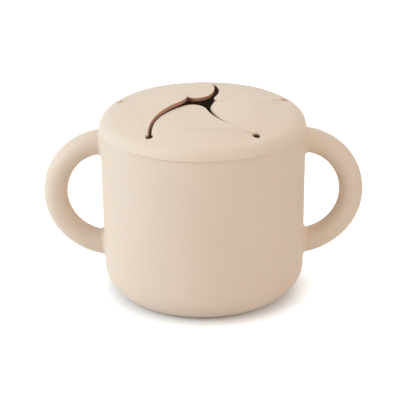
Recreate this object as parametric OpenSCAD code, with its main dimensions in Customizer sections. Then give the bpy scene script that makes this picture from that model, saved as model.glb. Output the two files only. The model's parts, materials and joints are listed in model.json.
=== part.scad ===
// Toddler snack container: a silicone cup with two loop handles and a push-on lid.
// The lid's domed top is cut by five curved slits into flaps that bend on living hinges.
// Millimetres. Origin at the centre of the base, +Z up, +X through the right handle, -Y the front.

/* [Cup] */
// Outer radius of the wall at the shoulder under the lid
cup_top_r = 44.7; // [40:0.1:55]
// How much the wall's outer radius tapers from the shoulder down to the table
cup_taper = 0.5; // [0:0.1:3]
// Height of the shoulder that the lid's skirt sits on
shoulder_z = 75.3; // [66:0.1:110]
// Thickness of the wall
cup_wall = 3.2; // [2.8:0.1:4.5]
// Thickness of the floor
cup_floor = 3.2; // [2:0.1:6]
// Radius of the large rounding between the wall and the base
base_round = 13; // [8:0.5:18]
// Radius of the rounding on the shoulder's outer edge
shoulder_round = 0.8; // [0.3:0.1:1]
// Radius of the shallow recess under the base
recess_r = 26; // [10:0.5:30]
// Depth of the recess under the base
recess_depth = 0.6; // [0.2:0.1:1.5]

/* [Rim] */
// Height of the rim tongue above the shoulder
rim_h = 2.9; // [2:0.1:3.2]
// Thickness of the rim tongue, which stands flush with the inside of the wall
rim_t = 1.8; // [1.2:0.1:2]

/* [Handles] */
// Diameter of the round handle section
handle_d = 10.4; // [8:0.1:13]
// Radius of the handle ring, to the middle of its section
handle_ring_r = 24.2; // [19:0.1:26]
// How far the ring's centre lies inside the outer face of the wall
handle_inset = 3.7; // [0:0.1:8]
// Height of the ring's centre
handle_z = 45.6; // [42:0.1:50]

/* [Lid] */
// How far the lid's edge stands out past the cup's wall
lid_overhang = 0.3; // [0:0.1:1]
// Thickness of the lid's domed top
lid_t = 1.7; // [1.2:0.1:2]
// Height of the straight band at the foot of the lid's skirt
skirt_h = 0.5; // [0.5:0.1:3]
// Radius of the rounding between the skirt and the dome
lid_round = 7; // [6:0.5:9]
// Radius of the sphere that the dome is part of
dome_r = 150; // [110:5:300]
// Radius of the rounding on the lower outer edge of the skirt
lip_round = 0.5; // [0.2:0.1:0.5]
// Depth of the plug below the shoulder, inside the cup
plug_depth = 5; // [3:0.5:8]
// Thickness of the plug's wall
plug_t = 1.4; // [1:0.1:2]
// Height that each sealing bead stands out of the plug
bead_h = 0.25; // [0.1:0.05:0.4]
// Radial clearance of the lid on the rim, also left at the sealing beads
fit_clear = 0.15; // [0.1:0.05:0.3]

/* [Slits and flaps] */
// Distance of the relief holes from the lid's axis
hole_ring_r = 37.7; // [34:0.1:37.8]
// Diameter of the relief hole at the outer end of each slit
relief_d = 3; // [2:0.1:3.2]
// How far each slit bows clockwise from the straight line between its ends
slit_bow = 6.3; // [3:0.1:7]
// Width of the slits
slit_gap = 0.8; // [0.6:0.1:1.2]
// Radius that rounds each flap's tip
tip_round = 5.5; // [3:0.1:6]
// Radius of the rounded root that each flap turns on
root_r = 2.2; // [2:0.1:2.6]
// Clearance between a flap's root and the lid ring
root_clear = 0.2; // [0.1:0.05:0.4]
// Azimuth of the middle of the front flap
front_azimuth = -90; // [-120:1:-60]

/* [Hidden] */
$fn = 180;
silicone = [0.87, 0.79, 0.71];
silicone_lid = [0.89, 0.81, 0.73];
silicone_flap = [0.85, 0.77, 0.69];

flap_count = 5;
flap_angle = 360 / flap_count;

// How far a shape runs into the one that it joins, or a cut runs past the face that it opens
overrun = 1;
// Overlap that keeps two cuts from leaving a skin between them
hair = 0.01;
// Room taken by cutting tools that pass right through a part
reach = 200;

// The bore of the cup, its mouth and the parts of the lid that close on it
cup_foot_r = cup_top_r - cup_taper;
bore_top_r = cup_top_r - cup_wall;
rim_outer_r = bore_top_r + rim_t;
rim_top_z = shoulder_z + rim_h;
lid_r = cup_top_r + lid_overhang;
skirt_inner_r = rim_outer_r + fit_clear;
plug_outer_r = bore_top_r - fit_clear - bead_h;
plug_inner_r = plug_outer_r - plug_t;
plug_foot_z = shoulder_z - plug_depth;
groove_top_z = rim_top_z + 2 * fit_clear;
groove_w = skirt_inner_r - (bore_top_r - fit_clear);
bead_r = 0.6;
bead_inset = 1;

// The lid's dome and edge rounding touch on one line, so the dome's centre follows from both
edge_x = lid_r - lid_round;
edge_z = shoulder_z + skirt_h;
dome_z = edge_z - sqrt(pow(dome_r - lid_round, 2) - pow(edge_x, 2));
past_dome = 1.1;

// Each slit is an arc from the lid's axis to its relief hole
slit_r = (pow(hole_ring_r / 2, 2) + pow(slit_bow, 2)) / (2 * slit_bow);
slit_centre_turn = 90 - asin(hole_ring_r / 2 / slit_r);

// Each hinge runs parallel to the line between two neighbouring relief holes
hole_line_x = hole_ring_r * cos(flap_angle / 2);
hole_half_w = hole_ring_r * sin(flap_angle / 2);
hinge_x = hole_line_x - root_r;
hinge_z = (mid_plate_z(hinge_x) + mid_plate_z(norm([hinge_x, hole_half_w]))) / 2;

// Height of the middle of the lid's plate at a distance r from the axis
function mid_plate_z(r) = dome_z + sqrt(pow(dome_r - lid_t / 2, 2) - pow(r, 2));

// A point at a distance and an azimuth from the axis
function polar(r, azimuth) = r * [cos(azimuth), sin(azimuth)];

// The meeting point of two circles that lies to the right of the way from centre a to centre b
function circles_meet(a, ra, b, rb) =
    let (d = norm(b - a))
    let (along = (d * d + ra * ra - rb * rb) / (2 * d))
    let (aside = sqrt(ra * ra - along * along))
    let (dir = (b - a) / d)
    a + along * dir + aside * [dir[1], -dir[0]];

// Where a line from p touches a circle of radius r about c, on the outer side
function touch_point(c, r, p) =
    let (v = p - c)
    c + polar(r, atan2(v[1], v[0]) - acos(r / norm(v)));

// ---- Cup ----

// Half section of the cup's filled outer form, set in by a distance, up to a flat top at the shoulder
module cup_section(inset, foot) {
    round_r = base_round - inset;
    centre = [cup_foot_r - base_round, base_round + foot - inset];
    rim = [cup_top_r - inset, shoulder_z];
    touch = touch_point(centre, round_r, rim);
    floor_z = centre[1] - round_r;
    polygon([
        [0, floor_z], [centre[0], floor_z], [centre[0], touch[1]], touch, rim, [0, shoulder_z]
    ]);
    intersection() {
        translate(centre) circle(round_r);
        translate([centre[0], floor_z]) square([round_r, touch[1] - floor_z]);
    }
}

// Half section with the rounding taken off the shoulder's outer edge
module cup_outer_section() {
    corner = [cup_top_r, shoulder_z];
    difference() {
        cup_section(0, 0);
        difference() {
            translate(corner - [shoulder_round, shoulder_round]) square(2 * shoulder_round);
            translate(corner - [shoulder_round, shoulder_round]) circle(shoulder_round);
        }
    }
}

// The rim tongue has a full round top
module rim_section() {
    translate([bore_top_r, shoulder_z - overrun]) square([rim_t, rim_h + overrun - rim_t / 2]);
    translate([bore_top_r + rim_t / 2, rim_top_z - rim_t / 2]) circle(rim_t / 2);
}

module cup_body() {
    color(silicone) difference() {
        rotate_extrude() {
            cup_outer_section();
            rim_section();
        }
        rotate_extrude() cup_section(cup_wall, cup_floor);
        translate([0, 0, shoulder_z - hair]) cylinder(r = bore_top_r, h = reach);
        translate([0, 0, -overrun]) cylinder(r = recess_r, h = recess_depth + overrun);
    }
}

// ---- Handles ----

// A loop of round section, cut off where it meets the outer face of the cup
module handle() {
    wall_r = cup_foot_r + (cup_top_r - cup_foot_r) * handle_z / shoulder_z;
    color(silicone) difference() {
        translate([wall_r - handle_inset, 0, handle_z]) rotate([90, 0, 0])
            rotate_extrude() translate([handle_ring_r, 0]) circle(d = handle_d);
        rotate_extrude() cup_section(0, 0);
    }
}

module right_handle() { handle(); }
module left_handle() { mirror([1, 0, 0]) handle(); }

// ---- Lid ----

// Half section of everything under the lid's outer face, set in by a distance
module under_lid_section(inset, foot) {
    past_edge = [0, dome_z] + past_dome * [edge_x, edge_z - dome_z];
    past_top = [0, dome_z + past_dome * dome_r];
    translate([0, foot]) square([lid_r - inset, edge_z - foot]);
    translate([edge_x, edge_z]) intersection() {
        circle(lid_round - inset);
        square(lid_round);
    }
    intersection() {
        translate([0, dome_z]) circle(dome_r - inset, $fn = 360);
        polygon([[0, foot], [edge_x, foot], [edge_x, edge_z], past_edge, past_top]);
    }
}

// The domed plate and its edge rounding, down to the top of the skirt
module lid_plate() {
    rotate_extrude() intersection() {
        difference() {
            under_lid_section(0, shoulder_z);
            under_lid_section(lid_t, shoulder_z - overrun);
        }
        translate([0, edge_z]) square(reach);
    }
}

// Half section of the grip: a skirt over the shoulder and a plug with two sealing beads
module grip_section() {
    corner = [lid_r, shoulder_z];
    difference() {
        intersection() {
            under_lid_section(0, shoulder_z);
            translate([plug_inner_r, shoulder_z]) square([lid_r, reach]);
        }
        difference() {
            translate(corner - [lip_round, overrun]) square([2 * lip_round, lip_round + overrun]);
            translate(corner + [-lip_round, lip_round]) circle(lip_round);
        }
    }
    translate([plug_inner_r, plug_foot_z]) square([plug_t, plug_depth + skirt_h]);
    for (z = [plug_foot_z + bead_inset, shoulder_z - bead_inset])
        translate([plug_outer_r + bead_h - bead_r, z]) circle(bead_r);
}

// Half section of the groove that the cup's rim tongue fills, with a round top
module groove_section() {
    groove_x = skirt_inner_r - groove_w / 2;
    round_z = groove_top_z - groove_w / 2;
    foot_z = shoulder_z - hair;
    translate([groove_x - groove_w / 2, foot_z]) square([groove_w, round_z - foot_z]);
    translate([groove_x, round_z]) circle(groove_w / 2);
}

// ---- Slits and flaps, drawn for a flap whose middle lies on +X ----

// Puts what it is given at each flap's place
module each_flap() {
    for (i = [0 : flap_count - 1])
        rotate(front_azimuth + i * flap_angle) children();
}

clockwise_centre = polar(slit_r, -flap_angle / 2 + slit_centre_turn);
counter_centre = polar(slit_r, flap_angle / 2 + slit_centre_turn);

// A plan shape raised from the shoulder to well above the lid
module above_shoulder() {
    translate([0, 0, shoulder_z]) linear_extrude(reach) children();
}

// The plan of one flap between its two slits, out to x_max; grow widens it on both sides
module between_slits(grow, x_max) {
    difference() {
        intersection() {
            translate(clockwise_centre) circle(slit_r + grow);
            translate([-reach / 2 + x_max, 0]) square([reach, reach], center = true);
        }
        translate(counter_centre) circle(slit_r - grow);
    }
}

// The corner that the tip's rounding takes away
module tip_corner() {
    inner = slit_r - slit_gap / 2;
    outer = slit_r + slit_gap / 2;
    centre = circles_meet(counter_centre, outer + tip_round, clockwise_centre, inner - tip_round);
    side = 3 * tip_round;
    to_clockwise = (centre - clockwise_centre) * side / (inner - tip_round);
    to_counter = (counter_centre - centre) * side / (outer + tip_round);
    difference() {
        polygon([centre, centre + to_clockwise, centre + to_clockwise + to_counter, centre + to_counter]);
        translate(centre) circle(tip_round);
    }
}

// Everything outward of the hinge, except what lies within a distance r of its axis
module beyond_root(r) {
    difference() {
        translate([hinge_x, -reach / 2, 0]) cube(reach);
        translate([hinge_x, 0, hinge_z]) rotate([90, 0, 0])
            cylinder(r = r, h = reach + overrun, center = true);
    }
}

// The relief hole at the counter-clockwise end of the flap's root
module relief_hole() {
    translate([hole_line_x, hole_half_w, shoulder_z]) cylinder(d = relief_d, h = reach);
}

module flap(index) {
    color(silicone_flap) rotate([0, 0, front_azimuth + index * flap_angle]) difference() {
        intersection() {
            lid_plate();
            above_shoulder() between_slits(-slit_gap / 2, hole_line_x);
        }
        above_shoulder() tip_corner();
        beyond_root(root_r);
        relief_hole();
        mirror([0, 1, 0]) relief_hole();
    }
}

// The slot that one flap's rounded root turns in
module root_slot() {
    difference() {
        above_shoulder() difference() {
            between_slits(slit_gap / 2, hole_line_x + root_clear);
            translate([-reach, -reach / 2]) square([reach + hinge_x - overrun, reach]);
        }
        beyond_root(root_r + root_clear);
    }
}

module lid_ring() {
    color(silicone_lid) difference() {
        union() {
            lid_plate();
            rotate_extrude() grip_section();
        }
        rotate_extrude() groove_section();
        above_shoulder() each_flap() between_slits(slit_gap / 2, hinge_x);
        each_flap() root_slot();
        each_flap() relief_hole();
    }
}

cup_body();
left_handle();
right_handle();
lid_ring();
flap(0);  // flap_1
flap(1);  // flap_2
flap(2);  // flap_3
flap(3);  // flap_4
flap(4);  // flap_5
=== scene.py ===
"""Looks for a toddler snack container of soft silicone: a cup with two loop handles, and a domed lid
whose five flaps bend on living hinges. Shapes are worked out in millimetres and degrees and made in
metres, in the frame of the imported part: +Z up, the right handle on +X and the front on -Y. Azimuths
run counter-clockwise from +X, seen from above. Materials, floor, lamps and camera are in metres."""

import json
from math import acos, atan2, cos, degrees, hypot, radians, sin, sqrt

import bmesh
import bpy
from mathutils import Matrix, Vector


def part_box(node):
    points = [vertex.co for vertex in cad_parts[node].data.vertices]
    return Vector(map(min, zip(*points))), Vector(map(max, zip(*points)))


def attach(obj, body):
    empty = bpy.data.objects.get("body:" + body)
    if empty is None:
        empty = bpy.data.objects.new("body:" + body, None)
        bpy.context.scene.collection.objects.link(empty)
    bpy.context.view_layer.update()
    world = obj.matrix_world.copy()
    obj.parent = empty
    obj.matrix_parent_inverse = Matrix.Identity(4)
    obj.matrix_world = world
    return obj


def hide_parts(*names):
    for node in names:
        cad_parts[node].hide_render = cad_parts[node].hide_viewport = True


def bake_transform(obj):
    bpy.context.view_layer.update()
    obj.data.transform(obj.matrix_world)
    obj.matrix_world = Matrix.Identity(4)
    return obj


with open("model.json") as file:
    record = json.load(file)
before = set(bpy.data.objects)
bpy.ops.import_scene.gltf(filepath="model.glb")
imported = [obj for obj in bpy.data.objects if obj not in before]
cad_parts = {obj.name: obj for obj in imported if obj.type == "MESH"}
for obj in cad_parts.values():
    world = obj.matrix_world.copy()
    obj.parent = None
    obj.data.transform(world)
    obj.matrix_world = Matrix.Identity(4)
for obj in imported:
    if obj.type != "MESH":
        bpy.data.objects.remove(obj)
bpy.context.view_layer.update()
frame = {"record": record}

MM = 0.001


def node_box(node):
    """Lowest and highest corner of a node, in millimetres."""
    low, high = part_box(node)
    return low / MM, high / MM


cup_high = node_box("cup_body")[1]
lid_low, lid_high = node_box("lid_ring")
handle_low, handle_high = node_box("right_handle")

# ---- Sizes of the cup ----

SHOULDER_Z = 75.3  # top of the wall, on which the lid rests
CUP_TOP_R = 44.7  # outer radius of the wall at the shoulder
CUP_FOOT_R = 44.2  # outer radius that its taper would reach at the table
CUP_WALL = 3.2
CUP_FLOOR = 3.2
BASE_ROUND = 13.0
SHOULDER_ROUND = 0.4
RECESS_R = 26.0  # shallow recess under the base
RECESS_DEPTH = 0.6
RECESS_ROUND = 0.3
BORE_R = CUP_TOP_R - CUP_WALL
RIM_T = 1.8  # thickness of the tongue that stands on the rim, inside the lid's groove
RIM_TOP_Z = cup_high.z
RIM_OUTER_R = BORE_R + RIM_T
SEAT_BEVEL = 0.2  # in the corner between shoulder and tongue, on the cup and on the lid
LIP_BAND_H = 1.7  # band under the shoulder, set back from the wall by a small step
LIP_BAND_STEP = 0.1

# ---- Sizes of the handles ----

HANDLE_R = (handle_high.y - handle_low.y) / 2  # radius of the round section
HANDLE_RING_R = (handle_high.z - handle_low.z) / 2 - HANDLE_R  # radius of the ring it runs along
HANDLE_Z = (handle_high.z + handle_low.z) / 2
HANDLE_X = handle_high.x - HANDLE_R - HANDLE_RING_R
HANDLE_FILLET = 1.6  # between handle and wall
HANDLE_SUNK = 0.5  # how deep a handle's end reaches into the wall
HANDLE_SWELL = 0.4  # how much the section swells and the ring sinks at the ends
SWELL_FROM = 45  # turn of the ring, away from its outermost point, at which that begins
SWELL_TO = 95  # and at which it is complete
MOST_TURN = 120  # a turn by which the ring is well inside the wall

# ---- Sizes of the lid ----

LID_R = lid_high.x
LID_T = 1.7
LID_ROUND = 7.0
DOME_R = 150.0
LIP_ROUND = 0.3
FIT_CLEAR = 0.15  # between the tongue and the groove
PLUG_FOOT_Z = lid_low.z
PLUG_T = 1.4
PLUG_ROUND = 0.4
BEAD_H = 0.25  # two sealing beads run round the plug
BEAD_R = 0.6
BEAD_INSET = 1.0
SKIRT_INNER_R = RIM_OUTER_R + FIT_CLEAR
GROOVE_INNER_R = BORE_R - FIT_CLEAR
GROOVE_TOP_Z = RIM_TOP_Z + 2 * FIT_CLEAR
PLUG_OUTER_R = GROOVE_INNER_R - BEAD_H
PLUG_INNER_R = PLUG_OUTER_R - PLUG_T
EDGE_R = LID_R - LID_ROUND  # centre of the edge's rounding, in a half section
EDGE_Z = SHOULDER_Z + LIP_ROUND
DOME_Z = EDGE_Z - sqrt((DOME_R - LID_ROUND) ** 2 - EDGE_R**2)  # centre of the dome's sphere
DOME_END_ANGLE = degrees(atan2(EDGE_Z - DOME_Z, EDGE_R))  # where the dome runs into the rounding
DOME_END_R = DOME_R * cos(radians(DOME_END_ANGLE))
DOME_EDGE_Z = DOME_Z + DOME_R * sin(radians(DOME_END_ANGLE)) - LID_T

# ---- Sizes of the slits and flaps ----

FLAPS = 5
FLAP_ANGLE = 360 / FLAPS
FRONT_AZIMUTH = -90
HOLE_RING_R = 37.7  # circle on which the relief holes lie
HOLE_R = 1.5
HOLE_ROUND = 0.8
SLIT_BOW = 6.3  # how far a slit bows out from the straight way to its hole
SLIT_R = ((HOLE_RING_R / 2) ** 2 + SLIT_BOW**2) / (2 * SLIT_BOW)
SLIT_TURN = degrees(acos(HOLE_RING_R / 2 / SLIT_R))
CUT_ROUND = 0.25
PAINTED_SHADE_DELAY = 4  # the higher, the further round its rounded edge the painted shade of a cut face begins
HOLE_PAINTED_SHADE = 0.5  # share of the cut faces' painted shade that a flap's side of a relief hole takes
HOLE_FAN = 0.06  # share of its turn round a relief hole that a column takes on the dome's edge

# ---- How the soft lid settles ----

CENTRE_SAG = 1.0  # how far the middle sinks
CENTRE_SAG_R = 40.0
FRONT_SAG = 1.3  # how far the rim sinks at the front
FRONT_INNER_R = 28.0  # radius at which that begins
FRONT_PEAK_R = 39.5  # and at which it is greatest
FRONT_REACH = 80  # degrees to each side of the front
CROWN_RISE = 0.42  # how much fuller the crown stands
CROWN_R = 42.0
CROWN_FADE = 5.0
BACK_REACH = 2.8  # how much further out the crown reaches at the back
BACK_FROM = 112  # degrees to each side of the front
SIDE_FADE = 50  # degrees over which the front's and the back's own shapes fade
TIP_SHARE = 0.9  # share of the way from a flap's root to its tip over which the tip settles
EDGE_SHARE = 0.3  # and over which its edges do

# How each flap lies after use: how far its tip and its two edges are lifted, and how far its tip is
# shifted back towards its root and aside. How it is cut: how far its two edges stand back from the
# slit's middle and how round its tip is. One flap has a rounder clockwise edge, and one has a
# counter-clockwise cut face that leans.
FLAP_SHAPES = {
    "flap_1": {
        "settled": dict(tip=-1.2, clockwise=0.1, counter=-0.45, back=-2.4, aside=0.9),
        "cut": dict(clockwise_gap=0.75, counter_gap=0.08, tip_round=6.2),
    },
    "flap_2": {
        "settled": dict(tip=-0.65, clockwise=-0.9, counter=1.4, back=3.35, aside=-0.1),
        "cut": dict(clockwise_gap=0.05, counter_gap=0.05, tip_round=2.5, clockwise_round=0.8),
    },
    "flap_3": {
        "settled": dict(tip=-0.3, clockwise=0.5, counter=0, back=1.1, aside=-1.4),
        "cut": dict(clockwise_gap=0.05, counter_gap=0.2, tip_round=5.4),
    },
    "flap_4": {
        "settled": dict(tip=0.2, clockwise=0.4, counter=-0.1, back=-0.5, aside=1.4),
        "cut": dict(clockwise_gap=0.25, counter_gap=0.03, tip_round=6.0),
    },
    "flap_5": {
        "settled": dict(tip=1.2, clockwise=-0.3, counter=0.2, back=-1.1, aside=-0.7),
        "cut": dict(clockwise_gap=0.03, counter_gap=0.85, tip_round=9.0, lean=0.7),
    },
}

# ---- Steps of the meshes ----

CUP_SIDES = 240
WALL_STEPS = 14
HANDLE_SECTIONS = 40
HANDLE_STEPS = 72
FLARE_STEPS = 8
TURN_HALVINGS = 40  # that find where a handle meets the wall
DOME_STEPS = 8
ROOT_STEPS = 28  # across a flap, along its root
SLIT_STEPS = 44
HOLE_STEPS = 6  # round a relief hole on a flap's side
RING_HOLE_STEPS = 26  # and on the ring's side
TIP_STEPS = 14
ROUND_STEPS = 4  # round each edge of a cut face
EASE_PLACES = 4  # places along a slit over which its edge takes its own rounding and lean
LEAN_FADE = 50  # places before the tip over which the lean goes
SHARP_ANGLE = 38  # faces that meet more steeply keep a sharp edge

# ---- Silicone ----

CUP_LIGHT = (226, 206, 187)  # colours as screen values
CUP_DARK = (222, 201, 181)
LID_LIGHT = (228, 209, 190)
LID_DARK = (224, 204, 184)
CUT_FACE_PAINTED_SHADE = (176, 132, 108)  # painted shade of cut faces: a deeper, redder tone standing in for the shade inside slits and holes
ROUGHNESS = 0.62
ROUGHNESS_SPREAD = 0.06
SILICONE_IOR = 1.41
SCATTER_SHARE = 0.12  # share of the light that scatters under the surface
SCATTER_REACH = 0.0025  # and how far
SCATTER_COLOUR = (1.0, 0.62, 0.42)
CLOUD_SCALE = 38.0  # noise cells per metre
CLOUD_DETAIL = 3.0
CLOUD_ROUGHNESS = 0.5
GRAIN_SCALE = 2600.0
GRAIN_DETAIL = 2.0
GRAIN_ROUGHNESS = 0.6
GRAIN_STRENGTH = 0.12
GRAIN_HEIGHT = 0.00006

# ---- Floor, light and camera ----

WHITE = (1, 1, 1, 1)
FLOOR_COLOUR = (0.8, 0.8, 0.8, 1)
FLOOR_SIZE = 6
FLOOR_CELLS = 8
FLOOR_SHADE_REACH = 0.012  # how near the object has to be for the floor's glow to fade, painting a contact shadow
FLOOR_GLOW = 0.68  # glow under and close round the object, lowered there as painted shade
GLOW_FROM = 0.08  # distances from the middle between which the painted shade fades and the glow rises to white
GLOW_TO = 0.50
WORLD_LIGHT = 0.2

# Each lamp's name, place, size, power in watts, and colour
LAMPS = (
    ("front_left", (-0.9, -0.7, 0.75), 0.8, 5.3, (0.88, 0.96, 1.0)),
    ("left_high", (-1.1, 0.0, 0.5), 0.8, 3.6, (0.73, 0.88, 1.0)),
    ("left_low", (-1.2, -0.15, 0.25), 0.6, 4.9, (0.80, 0.92, 1.0)),
    ("top", (0, 0, 1.3), 0.9, 4.3, (1.0, 1.0, 1.0)),
    ("front", (0, -1.2, 0.25), 0.8, 1.3, (1.0, 0.86, 0.82)),
    ("front_right", (0.88, -0.75, 0.55), 0.8, 5.3, (1.0, 0.89, 0.74)),
    ("back_right", (0.5, 0.95, 0.9), 0.5, 2.7, (1.0, 1.0, 1.0)),
    ("back", (0, 1.1, 0.9), 0.6, 1.5, (1.0, 1.0, 1.0)),
)

TARGET = Vector((0, 0, 0.040))  # the lamps and the camera are aimed at it
CAMERA_DISTANCE = 0.700
CAMERA_ELEVATION = 22.0
CAMERA_ROLL = -0.6
SENSOR_WIDTH = 36  # millimetres, as is the lens
LENS = 142.4
FRAME_PIXELS = 400
TARGET_PIXEL = (203.5, 201.8)  # where the target lies in the frame


def spread(first, last, steps):
    """Evenly spaced values from first to last, both included."""
    return [first + (last - first) * i / steps for i in range(steps + 1)]


def smooth(t):
    """A smooth step from 0 to 1."""
    t = min(max(t, 0), 1)
    return t * t * (3 - 2 * t)


def polar(radius, azimuth):
    """A flat point at a distance and an angle from the origin."""
    return Vector((radius * cos(radians(azimuth)), radius * sin(radians(azimuth))))


def arc(centre, radius, first, last, steps):
    """Points of a circle about centre, from one angle to another."""
    return [Vector(centre) + polar(radius, angle) for angle in spread(first, last, steps)]


# ---- Mesh building ----


class Skin:
    """Points and faces of one piece, gathered row by row."""

    def __init__(self):
        self.points = []
        # share of the cut faces' painted shade at each point
        self.cut = []
        self.faces = []

    def row(self, points, cut=None):
        """Adds points, with how much of the cut faces' painted shade each takes, and returns their
        numbers.
        """
        first = len(self.points)
        self.points += [Vector(point) for point in points]
        self.cut += cut or [0.0] * (len(self.points) - first)
        return list(range(first, len(self.points)))

    def strip(self, a, b, closed=False):
        """Quads between two rows of equal length."""
        for i in range(len(a) if closed else len(a) - 1):
            j = (i + 1) % len(a)
            self.faces.append((a[i], a[j], b[j], b[i]))

    def fan(self, tip, row, closed=False):
        """Triangles from one point to a row."""
        for i in range(len(row) if closed else len(row) - 1):
            self.faces.append((tip, row[i], row[(i + 1) % len(row)]))

    def piece(self, name, material):
        """The finished object, in metres, with outward faces and smooth shading."""
        mesh = bpy.data.meshes.new(name)
        mesh.from_pydata([point * MM for point in self.points], [], self.faces)
        shaped = bmesh.new()
        shaped.from_mesh(mesh)
        bmesh.ops.recalc_face_normals(shaped, faces=shaped.faces)
        shaped.to_mesh(mesh)
        shaped.free()
        mesh.shade_smooth()
        mesh.set_sharp_from_angle(angle=radians(SHARP_ANGLE))
        # the cut attribute carries the cut faces' painted shade to the material
        mesh.attributes.new("cut", "FLOAT", "POINT").data.foreach_set("value", self.cut)
        mesh.materials.append(material)
        piece = bpy.data.objects.new(name, mesh)
        bpy.context.scene.collection.objects.link(piece)
        return piece


def revolved(outline, sides):
    """A closed skin made by turning a half section, from the axis round and back to it."""
    skin = Skin()
    azimuths = spread(0, 360, sides)[:-1]
    rings = [skin.row([(*polar(r, azimuth), z) for azimuth in azimuths]) for r, z in outline[1:-1]]
    for inner, outer in zip(rings, rings[1:]):
        skin.strip(inner, outer, closed=True)
    for (r, z), ring in ((outline[0], rings[0]), (outline[-1], rings[-1])):
        skin.fan(skin.row([(r, 0, z)])[0], ring, closed=True)
    return skin


# ---- Cup ----


def wall_outer_r(z):
    """Outer radius of the cup's tapering wall at a height."""
    return CUP_FOOT_R + (CUP_TOP_R - CUP_FOOT_R) * z / SHOULDER_Z


def seat_bevel(radius):
    """The bevelled corner between the shoulder and a face that goes up from it."""
    return [Vector((radius + SEAT_BEVEL, SHOULDER_Z)), Vector((radius, SHOULDER_Z + SEAT_BEVEL))]


def touch_angle(centre, radius, point):
    """Angle on a circle at which a line from the point touches it, on the outer side."""
    way = Vector(point) - Vector(centre)
    return degrees(atan2(way.y, way.x) - acos(radius / way.length))


def cup_outline():
    """Half section of the cup, from the recess under the base up the outside and down the bore."""
    base = (CUP_FOOT_R - BASE_ROUND, BASE_ROUND)
    base_end = touch_angle(base, BASE_ROUND, (CUP_TOP_R, SHOULDER_Z))
    inner_round = BASE_ROUND - CUP_WALL
    floor = (base[0], CUP_FLOOR + inner_round)
    floor_end = touch_angle(floor, inner_round, (BORE_R, SHOULDER_Z))
    band_z = SHOULDER_Z - LIP_BAND_H
    band_r = wall_outer_r(band_z)
    shoulder = (CUP_TOP_R - LIP_BAND_STEP - SHOULDER_ROUND, SHOULDER_Z - SHOULDER_ROUND)
    tongue = (BORE_R + RIM_T / 2, RIM_TOP_Z - RIM_T / 2)

    recess = [Vector((r, RECESS_DEPTH)) for r in spread(0, RECESS_R - RECESS_ROUND, steps=6)]
    foot = arc((RECESS_R + RECESS_ROUND, RECESS_ROUND), RECESS_ROUND, 180, 270, steps=5)
    rounding = arc(base, BASE_ROUND, 270, 360 + base_end, steps=30)
    wall_top = Vector((band_r, band_z))
    wall = [rounding[-1].lerp(wall_top, share) for share in spread(0, 1, WALL_STEPS)[1:]]
    band = [Vector((band_r - LIP_BAND_STEP, band_z + LIP_BAND_STEP))]
    top = arc(shoulder, SHOULDER_ROUND, 0, 90, steps=8)
    seat = seat_bevel(RIM_OUTER_R)
    rim = arc(tongue, RIM_T / 2, 0, 180, steps=14)
    dish = arc(floor, inner_round, floor_end, -90, steps=22)
    bore = [rim[-1].lerp(dish[0], share) for share in spread(0, 1, WALL_STEPS)[1:-1]]
    inside = [Vector((r, CUP_FLOOR)) for r in spread(floor[0], 0, steps=8)[1:]]
    return recess + foot + rounding + wall + band + top + seat + rim + bore + dish + inside


# ---- Handles ----


def handle_point(turn, section, side, beyond=0):
    """A point on the handle, or beyond its surface, and the way out there. The turn runs round the
    ring from its outermost point, and the section angle round the section."""
    out = Vector((side * cos(radians(turn)), 0, sin(radians(turn))))
    swell = HANDLE_SWELL * smooth((abs(turn) - SWELL_FROM) / (SWELL_TO - SWELL_FROM))
    ring = Vector((side * HANDLE_X, 0, HANDLE_Z - swell)) + HANDLE_RING_R * out
    way = out * cos(radians(section)) + Vector((0, 1, 0)) * sin(radians(section))
    return ring + (HANDLE_R + swell + beyond) * way, way


def turn_at_wall(section, side, end):
    """Turn of the ring, up or down as end is 1 or -1, at which a ball that rolls along the handle
    also touches the wall, found by halving."""
    near, far = 0.0, MOST_TURN * end
    for _ in range(TURN_HALVINGS):
        turn = (near + far) / 2
        ball, _way = handle_point(turn, section, side, HANDLE_FILLET)
        if hypot(ball.x, ball.y) > wall_outer_r(ball.z) + HANDLE_FILLET:
            near = turn
        else:
            far = turn
    return near


def flared_end(turns, sections, side):
    """Rows over which a handle's end spreads into the wall, the last of them sunk in it."""
    rows = []
    for share in spread(0, 1, FLARE_STEPS)[1:]:
        row = []
        for turn, section in zip(turns, sections):
            ball, way = handle_point(turn, section, side, HANDLE_FILLET)
            to_wall = -Vector((ball.x, ball.y, 0)).normalized()
            row.append(ball + HANDLE_FILLET * (-way).slerp(to_wall, share))
        rows.append(row)
    return rows + [[p - HANDLE_SUNK * Vector((p.x, p.y, 0)).normalized() for p in rows[-1]]]


def handle_skin(side):
    """A loop of round section whose ends flare into the wall with a rolling-ball fillet."""
    skin = Skin()
    sections = spread(0, 360, HANDLE_SECTIONS)[:-1]
    upper, lower = [[turn_at_wall(section, side, end) for section in sections] for end in (1, -1)]
    rows = flared_end(upper, sections, side)[::-1]
    for share in spread(0, 1, HANDLE_STEPS):
        turns = [high + (low - high) * share for high, low in zip(upper, lower)]
        rows.append([handle_point(turn, section, side)[0] for turn, section in zip(turns, sections)])
    rows += flared_end(lower, sections, side)
    rings = [skin.row(row) for row in rows]
    for a, b in zip(rings, rings[1:]):
        skin.strip(a, b, closed=True)
    for row, ring in ((rows[0], rings[0]), (rows[-1], rings[-1])):
        middle = sum(row, Vector((0, 0, 0))) / len(row)
        skin.fan(skin.row([middle])[0], ring, closed=True)
    return skin


# ---- Lid: one domed surface that the ring and the flaps share ----


def dome_point(plan, depth):
    """A point of the lid above a place in plan, at a depth under the outer face."""
    return Vector((plan.x, plan.y, DOME_Z + sqrt(DOME_R**2 - plan.length_squared) - depth))


def turned(point, azimuth):
    """A point in plan or in space, turned about the lid's axis."""
    c, s = cos(radians(azimuth)), sin(radians(azimuth))
    return Vector((c * point[0] - s * point[1], s * point[0] + c * point[1], *point[2:]))


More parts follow.
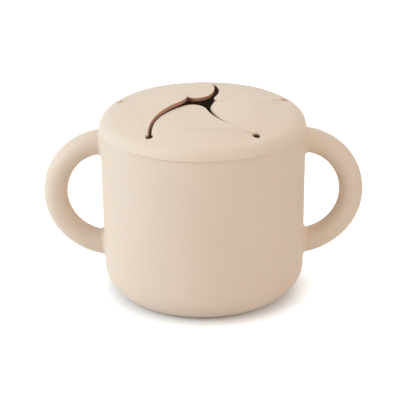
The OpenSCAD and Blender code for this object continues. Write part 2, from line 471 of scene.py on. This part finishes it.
def sagged(point):
    """A point of the lid as the soft silicone settles: the crown stands a little fuller, most of all
    at the back, while the middle and the front rim sink."""
    radius = hypot(point[0], point[1])
    from_front = abs((degrees(atan2(point[1], point[0])) - FRONT_AZIMUTH + 180) % 360 - 180)
    at_front = smooth((FRONT_REACH - from_front) / SIDE_FADE)
    near_rim = smooth((radius - FRONT_INNER_R) / (FRONT_PEAK_R - FRONT_INNER_R))
    near_rim *= smooth((LID_R - radius) / (LID_R - FRONT_PEAK_R))
    free = smooth((point[2] - GROOVE_TOP_Z) / (DOME_EDGE_Z - GROOVE_TOP_Z))
    sag = CENTRE_SAG * smooth(1 - radius / CENTRE_SAG_R) + FRONT_SAG * at_front * near_rim
    crown_r = CROWN_R + BACK_REACH * smooth((from_front - BACK_FROM) / SIDE_FADE)
    sag -= CROWN_RISE * smooth((crown_r - radius) / CROWN_FADE)
    return Vector((point[0], point[1], point[2] - sag * free))


def cut_levels(rounding):
    """Levels down a cut face with rounded edges: how far each lies back from the cut, how deep, and
    how much of the cut faces' painted shade it takes."""
    top = [
        (
            rounding * (1 - sin(radians(angle))),
            rounding * (1 - cos(radians(angle))),
            smooth(angle / 90) ** PAINTED_SHADE_DELAY,
        )
        for angle in spread(0, 90, ROUND_STEPS)
    ]
    return top + [(inside, LID_T - depth, share) for inside, depth, share in top[::-1]]


# ---- Flaps ----

# In a flap's own frame its middle lies on +X, one relief hole at each end of its root
CLOCKWISE_HOLE = polar(HOLE_RING_R, -FLAP_ANGLE / 2)
COUNTER_HOLE = polar(HOLE_RING_R, FLAP_ANGLE / 2)
CLOCKWISE_CENTRE = polar(SLIT_R, -FLAP_ANGLE / 2 + SLIT_TURN)
COUNTER_CENTRE = polar(SLIT_R, FLAP_ANGLE / 2 + SLIT_TURN)
ROOT_LINE_X = CLOCKWISE_HOLE.x


def circles_meet(a, a_r, b, b_r):
    """The meeting point of two circles that lies to the right of the way from a to b."""
    distance = (b - a).length
    along = (distance * distance + a_r * a_r - b_r * b_r) / (2 * distance)
    way = (b - a) / distance
    return a + along * way + sqrt(a_r * a_r - along * along) * Vector((way.y, -way.x))


def edge_arc(centre, start, end, steps, inward, rounding, last_rounding=None):
    """An arc's places, each with its way into the silicone, towards the centre or away, and rounding."""
    change = (last_rounding or rounding) - rounding
    first = degrees(atan2(start.y - centre.y, start.x - centre.x))
    turn = (degrees(atan2(end.y - centre.y, end.x - centre.x)) - first + 180) % 360 - 180
    radius = (start - centre).length
    way_length = -1 if inward else 1
    return [
        (centre + polar(radius, angle), polar(way_length, angle), rounding + change * i / steps)
        for i, angle in enumerate(spread(first, first + turn, steps))
    ]


def chained(*edges):
    """Edges one after another, mitred where two of them meet."""
    chain = list(edges[0])
    for edge in edges[1:]:
        place, way, rounding = chain.pop()
        other = edge[0][1]
        chain += [(place, (way + other) / (1 + way.dot(other)), rounding)] + edge[1:]
    return chain


def eased(edge):
    """A slit's edge whose rounding runs over from the relief hole's to the slit's own."""
    return [
        (place, way, HOLE_ROUND + (rounding - HOLE_ROUND) * smooth(i / EASE_PLACES))
        for i, (place, way, rounding) in enumerate(edge)
    ]


def leaning(edge, lean):
    """How far each place of an edge leans out by its foot: fully along the slit, and not at its ends."""
    last = len(edge) - 1
    return [lean * smooth(i / EASE_PLACES) * smooth((last - i) / LEAN_FADE) for i in range(last + 1)]


def painted_shade_at(place):
    """How much painted shade a flap's cut face takes at a place: fully along a slit, and less in a
    relief hole.
    """
    to_hole = min((place - hole).length for hole in (CLOCKWISE_HOLE, COUNTER_HOLE)) - HOLE_R
    return HOLE_PAINTED_SHADE + (1 - HOLE_PAINTED_SHADE) * smooth(to_hole / HOLE_R)


def slit_end(hole, centre, radius):
    """The place where a slit's edge leaves its relief hole."""
    found = circles_meet(hole, HOLE_R, centre, radius), circles_meet(centre, radius, hole, HOLE_R)
    return min(found, key=lambda place: place.length)


def flap_sides(clockwise_gap, counter_gap, tip_round, clockwise_round):
    """A flap's clockwise and counter-clockwise edges, each from its root to the middle of the tip."""
    inner, outer = SLIT_R - clockwise_gap, SLIT_R + counter_gap
    tip = circles_meet(COUNTER_CENTRE, outer + tip_round, CLOCKWISE_CENTRE, inner - tip_round)
    on_clockwise = CLOCKWISE_CENTRE + (tip - CLOCKWISE_CENTRE).normalized() * inner
    on_counter = COUNTER_CENTRE + (tip - COUNTER_CENTRE).normalized() * outer
    apex = tip + (on_clockwise + on_counter - 2 * tip).normalized() * tip_round
    sides = []
    for hole, centre, radius, way, touch, inward, rounding in (
        (CLOCKWISE_HOLE, CLOCKWISE_CENTRE, inner, 1, on_clockwise, True, clockwise_round),
        (COUNTER_HOLE, COUNTER_CENTRE, outer, -1, on_counter, False, CUT_ROUND),
    ):
        root = hole + Vector((0, way * HOLE_R))
        leave = slit_end(hole, centre, radius)
        sides.append(
            chained(
                edge_arc(hole, root, leave, HOLE_STEPS, False, HOLE_ROUND),
                eased(edge_arc(centre, leave, touch, SLIT_STEPS, inward, rounding)),
                edge_arc(tip, touch, apex, TIP_STEPS, True, rounding, clockwise_round),
            )
        )
    return sides


def root_line():
    """Places along a flap's root, between the rounded edges of its two relief holes."""
    end = COUNTER_HOLE.y - HOLE_R - HOLE_ROUND
    return [Vector((ROOT_LINE_X, y)) for y in spread(-end, end, ROOT_STEPS)]


def settling(tip, clockwise, counter, back, aside):
    """A function that moves a point of a flap from the even dome to where it lies after use."""

    def settle(point):
        plan = Vector((point.x, point.y))
        out = (ROOT_LINE_X - plan.x) / ROOT_LINE_X
        to_clockwise = max(SLIT_R - (plan - CLOCKWISE_CENTRE).length, 0)
        to_counter = max((plan - COUNTER_CENTRE).length - SLIT_R, 0)
        side = to_counter / max(to_clockwise + to_counter, CUT_ROUND)
        bend, start = smooth(out / TIP_SHARE), smooth(out / EDGE_SHARE)
        lift = tip * bend + start * (clockwise * side**2 + counter * (1 - side) ** 2)
        return point + Vector((back * bend, aside * bend, lift))

    return settle


def flap_skin(
    azimuth, settle, clockwise_gap, counter_gap, tip_round, clockwise_round=CUT_ROUND, lean=0
):
    """One flap, cut out of the dome and then settled into its resting shape. The foot of its
    counter-clockwise cut face stands out by the lean."""
    skin = Skin()
    clockwise, counter = flap_sides(clockwise_gap, counter_gap, tip_round, clockwise_round)
    # From the root along the clockwise side to the apex, and back along the other side
    edge = [(*place, 0) for place in clockwise]
    edge += [(*place, out) for place, out in zip(counter, leaning(counter, lean))][-2::-1]
    apex = len(clockwise) - 1

    def put(plan, depth):
        """The point of the finished lid for a place in the flap's own frame."""
        return sagged(turned(settle(dome_point(plan, depth)), azimuth))

    def inset(place, way, rounding, out, depth):
        """A place of the edge, moved back by its rounding and out by its lean."""
        return place + (rounding - out * depth / LID_T) * way

    outlines = []
    for depth in (0, LID_T):
        plan = [inset(*corner, depth) for corner in edge]
        rows = []
        for a, b in zip(plan[:apex], plan[:apex:-1]):
            rows.append(skin.row([put(a.lerp(b, share), depth) for share in spread(0, 1, ROOT_STEPS)]))
        tip = skin.row([put(plan[apex], depth)])[0]
        for a, b in zip(rows, rows[1:]):
            skin.strip(a, b)
        skin.fan(tip, rows[-1])
        sides = [row[0] for row in rows] + [tip] + [row[-1] for row in rows[::-1]]
        outlines.append(sides + rows[0][-2:0:-1])

    edge += [(place, Vector((0, 0)), HOLE_ROUND, 0) for place in root_line()[-2:0:-1]]
    levels = list(zip(*[cut_levels(rounding) for _place, _way, rounding, _out in edge]))
    # painted shade on the cut faces: full along the slits, less in the relief holes
    painted_shade_share = [painted_shade_at(place) for place, _way, _rounding, _out in edge]
    loops = [outlines[0]]
    for level in levels[1:-1]:
        points = [
            put(inset(place, way, inside, out, depth), depth)
            for (place, way, _rounding, out), (inside, depth, _share) in zip(edge, level)
        ]
        share = level[0][2]
        loops.append(skin.row(points, cut=[share * there for there in painted_shade_share]))
    loops.append(outlines[1])
    for a, b in zip(loops, loops[1:]):
        skin.strip(a, b, closed=True)
    return skin


# ---- Lid ring ----


def ring_columns():
    """The ring's inner boundary in one flap's frame: each place, its way into the silicone, and
    the azimuth at which its column meets the edge of the dome."""
    arc_half = 90 + FLAP_ANGLE / 2
    reach = FLAP_ANGLE / 2 - arc_half * HOLE_FAN
    azimuths = spread(-reach, reach, ROOT_STEPS)
    columns = [(place, Vector((0, 0)), azimuth) for place, azimuth in zip(root_line(), azimuths)]
    for index, sign in ((0, 1), (-1, -1)):
        place, _way, azimuth = columns[index]
        columns[index] = (place - HOLE_ROUND * Vector((0, sign)), Vector((0, sign)), azimuth)
    for turn in spread(-arc_half, arc_half, RING_HOLE_STEPS)[1:-1]:
        way = polar(1, FLAP_ANGLE / 2 + turn)
        columns.append((COUNTER_HOLE + HOLE_R * way, way, FLAP_ANGLE / 2 + turn * HOLE_FAN))
    return columns


def grip_outline():
    """Half section of the lid from the end of the dome round the skirt, the groove and the plug."""
    groove_r = (SKIRT_INNER_R - GROOVE_INNER_R) / 2
    groove = ((SKIRT_INNER_R + GROOVE_INNER_R) / 2, GROOVE_TOP_Z - groove_r)
    bead_x = PLUG_OUTER_R + BEAD_H - BEAD_R
    bead_half = degrees(acos((PLUG_OUTER_R - bead_x) / BEAD_R))
    foot_z = PLUG_FOOT_Z + PLUG_ROUND
    outline = arc((EDGE_R, EDGE_Z), LID_ROUND, DOME_END_ANGLE, 0, steps=20)[1:]
    outline += arc((LID_R - LIP_ROUND, EDGE_Z), LIP_ROUND, 0, -90, steps=6)[1:]
    outline += seat_bevel(SKIRT_INNER_R)
    outline += arc(groove, groove_r, 0, 180, steps=12)
    outline += [Vector((GROOVE_INNER_R, SHOULDER_Z)), Vector((PLUG_OUTER_R, SHOULDER_Z - BEAD_H))]
    for bead_z in (SHOULDER_Z - BEAD_INSET, PLUG_FOOT_Z + BEAD_INSET):
        outline += arc((bead_x, bead_z), BEAD_R, bead_half, -bead_half, steps=6)
    outline += arc((PLUG_OUTER_R - PLUG_ROUND, foot_z), PLUG_ROUND, 0, -90, steps=4)
    outline += arc((PLUG_INNER_R + PLUG_ROUND, foot_z), PLUG_ROUND, -90, -180, steps=4)
    return outline


def ring_skin():
    """The lid without its flaps: the dome round them, the rounded edge, the skirt and the plug."""
    skin = Skin()
    columns = []
    for i in range(FLAPS):
        azimuth = FRONT_AZIMUTH + i * FLAP_ANGLE
        for place, way, edge_azimuth in ring_columns():
            columns.append((turned(place, azimuth), turned(way, azimuth), edge_azimuth + azimuth))
    levels = cut_levels(HOLE_ROUND)

    def cut_row(level):
        """Points round the holes and roots at one level of the cut face."""
        inside, depth, _share = level
        return [dome_point(place + inside * way, depth) for place, way, _azimuth in columns]

    def dome_row(end_r, share, level):
        """Points a share of the way from the cut face to a circle, on the dome or under it."""
        inside, depth, _share = level
        return [
            dome_point((place + inside * way).lerp(polar(end_r, azimuth), share), depth)
            for place, way, azimuth in columns
        ]

    # Up the cut face, out over the dome, round the grip, and back in under the dome
    rows = [(cut_row(level), level[2]) for level in levels[::-1]]
    rows += [(dome_row(DOME_END_R, share, levels[0]), 0) for share in spread(0, 1, DOME_STEPS)[1:]]
    for r, z in grip_outline():
        rows.append(([(*polar(r, azimuth), z) for _place, _way, azimuth in columns], 0))
    rows += [(dome_row(PLUG_INNER_R, share, levels[-1]), 0) for share in spread(1, 0, DOME_STEPS)[:-1]]
    # the ring's cut faces round the relief holes take the full painted shade
    rings = [skin.row([sagged(point) for point in row], cut=[painted_shade_share] * len(row)) for row, painted_shade_share in rows]
    for a, b in zip(rings, rings[1:] + rings[:1]):
        skin.strip(a, b, closed=True)
    return skin


# ---- Silicone ----


def linear(red, green, blue):
    """A colour of the shader from screen values."""
    return tuple(((level / 255 + 0.055) / 1.055) ** 2.4 for level in (red, green, blue))


def node(tree, kind, **inputs):
    """A shader node with some of its inputs set."""
    made = tree.nodes.new(kind)
    for name, value in inputs.items():
        made.inputs[name.replace("_", " ")].default_value = value
    return made


def noise(tree, place, scale, detail, roughness):
    """The value of a noise that is fixed to the object."""
    made = node(tree, "ShaderNodeTexNoise", Scale=scale, Detail=detail, Roughness=roughness)
    tree.links.new(place.outputs["Object"], made.inputs["Vector"])
    return made.outputs["Fac"]


def colour_mix(tree, share, first, second):
    """A colour between two, by the share that a socket gives. Each is a socket or screen values."""
    mix = tree.nodes.new("ShaderNodeMix")
    mix.data_type = "RGBA"
    tree.links.new(share, mix.inputs["Factor"])
    for given, name in ((first, "A"), (second, "B")):
        if isinstance(given, tuple):
            mix.inputs[name].default_value = (*linear(*given), 1)
        else:
            tree.links.new(given, mix.inputs[name])
    return mix.outputs["Result"]


def silicone(name, light, dark):
    """Matt soft-touch silicone: faint cloudy tone, fine dust-like grain, and a slightly uneven skin.
    Cut faces take a deeper, redder tone: painted shade for the shade inside slits and holes."""
    material = bpy.data.materials.new(name)
    material.use_nodes = True
    tree = material.node_tree
    shader = tree.nodes["Principled BSDF"]
    shader.inputs["IOR"].default_value = SILICONE_IOR
    shader.inputs["Subsurface Weight"].default_value = SCATTER_SHARE
    shader.inputs["Subsurface Radius"].default_value = SCATTER_COLOUR
    shader.inputs["Subsurface Scale"].default_value = SCATTER_REACH
    place = tree.nodes.new("ShaderNodeTexCoord")
    cloud = noise(tree, place, CLOUD_SCALE, CLOUD_DETAIL, CLOUD_ROUGHNESS)
    grain = noise(tree, place, GRAIN_SCALE, GRAIN_DETAIL, GRAIN_ROUGHNESS)
    cut = tree.nodes.new("ShaderNodeAttribute")
    cut.attribute_name = "cut"
    tone = colour_mix(tree, cloud, light, dark)
    # cut faces are painted a deeper shade
    skin_or_painted_shade = colour_mix(tree, cut.outputs["Fac"], tone, CUT_FACE_PAINTED_SHADE)
    tree.links.new(skin_or_painted_shade, shader.inputs["Base Color"])
    rough = tree.nodes.new("ShaderNodeMapRange")
    rough.inputs["To Min"].default_value = ROUGHNESS - ROUGHNESS_SPREAD
    rough.inputs["To Max"].default_value = ROUGHNESS + ROUGHNESS_SPREAD
    tree.links.new(grain, rough.inputs["Value"])
    tree.links.new(rough.outputs["Result"], shader.inputs["Roughness"])
    bump = node(tree, "ShaderNodeBump", Strength=GRAIN_STRENGTH, Distance=GRAIN_HEIGHT)
    tree.links.new(grain, bump.inputs["Height"])
    tree.links.new(bump.outputs["Normal"], shader.inputs["Normal"])
    return material


cup_silicone = silicone("cup_silicone", CUP_LIGHT, CUP_DARK)
lid_silicone = silicone("lid_silicone", LID_LIGHT, LID_DARK)

# ---- Pieces ----


def fit(skin, name, material, slot, body, *nodes):
    """Makes a piece that stands for some nodes. It rides on their body, if one is given."""
    piece = skin.piece(name, material)
    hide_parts(*nodes)
    if body:
        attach(piece, body)
    return piece


cup_skin = revolved(cup_outline(), CUP_SIDES)
fit(cup_skin, "cup_moulding", cup_silicone, "cup_silicone", "cup", "cup_body")
fit(handle_skin(1), "right_loop", cup_silicone, "cup_silicone", "cup", "right_handle")
fit(handle_skin(-1), "left_loop", cup_silicone, "cup_silicone", "cup", "left_handle")
fit(ring_skin(), "lid_moulding", lid_silicone, "lid_silicone", "lid", "lid_ring")

flap_bodies = [name for name in frame["record"]["behaviour"]["bodies"] if name.startswith("flap_")]
for i, body in enumerate(flap_bodies):
    flap = f"flap_{i + 1}"
    azimuth = FRONT_AZIMUTH + i * FLAP_ANGLE
    shape = FLAP_SHAPES[flap]
    skin = flap_skin(azimuth, settling(**shape["settled"]), **shape["cut"])
    piece = fit(skin, flap + "_moulding", lid_silicone, "lid_silicone", None, flap)
    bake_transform(piece)

# ---- Floor and world ----


def maths(tree, operation, first, second):
    """The result of a Math node on two sockets."""
    made = tree.nodes.new("ShaderNodeMath")
    made.operation = operation
    tree.links.new(first, made.inputs[0])
    tree.links.new(second, made.inputs[1])
    return made.outputs[0]


def seen_directly(tree):
    """One for camera, glossy and transmitted rays, and nought for the rays that light the object."""
    path = tree.nodes.new("ShaderNodeLightPath")
    seen = maths(tree, "MAXIMUM", path.outputs["Is Camera Ray"], path.outputs["Is Glossy Ray"])
    return maths(tree, "MAXIMUM", seen, path.outputs["Is Transmission Ray"])


def floor_material():
    """Matt and pale, with a glow that only direct rays see. The glow fades where the object stands
    close over the floor, a painted contact shadow, and rises to white away from it."""
    material = bpy.data.materials.new("studio_floor")
    material.use_nodes = True
    tree = material.node_tree
    tree.nodes.clear()
    matt = node(tree, "ShaderNodeBsdfDiffuse", Color=FLOOR_COLOUR)
    glow = node(tree, "ShaderNodeEmission", Color=WHITE)
    openness = node(tree, "ShaderNodeAmbientOcclusion", Distance=FLOOR_SHADE_REACH)
    place = tree.nodes.new("ShaderNodeTexCoord")
    distance = tree.nodes.new("ShaderNodeVectorMath")
    distance.operation = "LENGTH"
    tree.links.new(place.outputs["Object"], distance.inputs[0])
    level = tree.nodes.new("ShaderNodeMapRange")
    level.interpolation_type = "SMOOTHSTEP"
    level.inputs["From Min"].default_value = GLOW_FROM
    level.inputs["From Max"].default_value = GLOW_TO
    level.inputs["To Min"].default_value = FLOOR_GLOW
    level.inputs["To Max"].default_value = 1.0
    tree.links.new(distance.outputs["Value"], level.inputs["Value"])
    # the glow fades where the object shuts the floor in: a painted contact shadow
    lit = maths(tree, "MULTIPLY", seen_directly(tree), openness.outputs["AO"])
    strength = maths(tree, "MULTIPLY", lit, level.outputs["Result"])
    tree.links.new(strength, glow.inputs["Strength"])
    both = tree.nodes.new("ShaderNodeAddShader")
    tree.links.new(matt.outputs[0], both.inputs[0])
    tree.links.new(glow.outputs[0], both.inputs[1])
    out = tree.nodes.new("ShaderNodeOutputMaterial")
    tree.links.new(both.outputs[0], out.inputs["Surface"])
    return material


def make_floor():
    """A wide floor that keeps the object's soft shadow from the lamps and a painted contact shadow."""
    bpy.ops.mesh.primitive_grid_add(
        x_subdivisions=FLOOR_CELLS, y_subdivisions=FLOOR_CELLS, size=FLOOR_SIZE
    )
    floor = bpy.context.object
    floor.name = "studio_floor"
    floor.data.materials.append(floor_material())


def make_world():
    """Even studio light that the camera sees as white."""
    world = bpy.data.worlds.new("studio")
    bpy.context.scene.world = world
    world.use_nodes = True
    tree = world.node_tree
    tree.nodes.clear()
    soft = node(tree, "ShaderNodeBackground", Color=WHITE)
    level = tree.nodes.new("ShaderNodeMapRange")
    level.inputs["To Min"].default_value = WORLD_LIGHT
    level.inputs["To Max"].default_value = 1.0
    tree.links.new(seen_directly(tree), level.inputs["Value"])
    tree.links.new(level.outputs["Result"], soft.inputs["Strength"])
    out = tree.nodes.new("ShaderNodeOutputWorld")
    tree.links.new(soft.outputs[0], out.inputs["Surface"])


# ---- Lamps and camera ----


def make_lamp(name, place, size, power, colour):
    """A square soft box, turned towards the object."""
    light = bpy.data.lights.new(name, "AREA")
    light.shape = "SQUARE"
    light.size = size
    light.energy = power
    light.color = colour
    lamp = bpy.data.objects.new(name, light)
    lamp.location = place
    lamp.rotation_euler = (TARGET - lamp.location).to_track_quat("-Z", "Y").to_euler()
    bpy.context.scene.collection.objects.link(lamp)


def make_camera():
    """The camera, aimed from the front at a point on the cup's axis."""
    data = bpy.data.cameras.new("camera")
    data.sensor_width = SENSOR_WIDTH
    data.lens = LENS
    data.shift_x = (FRAME_PIXELS / 2 - TARGET_PIXEL[0]) / FRAME_PIXELS
    data.shift_y = (TARGET_PIXEL[1] - FRAME_PIXELS / 2) / FRAME_PIXELS
    camera = bpy.data.objects.new("camera", data)
    rise = radians(CAMERA_ELEVATION)
    back = Vector((0, -cos(rise), sin(rise)))
    camera.location = TARGET + CAMERA_DISTANCE * back
    aim = (-back).to_track_quat("-Z", "Y").to_matrix() @ Matrix.Rotation(radians(CAMERA_ROLL), 3, "Z")
    camera.rotation_euler = aim.to_euler()
    bpy.context.scene.collection.objects.link(camera)
    bpy.context.scene.camera = camera


make_floor()
make_world()
for lamp in LAMPS:
    make_lamp(*lamp)
make_camera()
bpy.context.scene.view_settings.view_transform = "Standard"
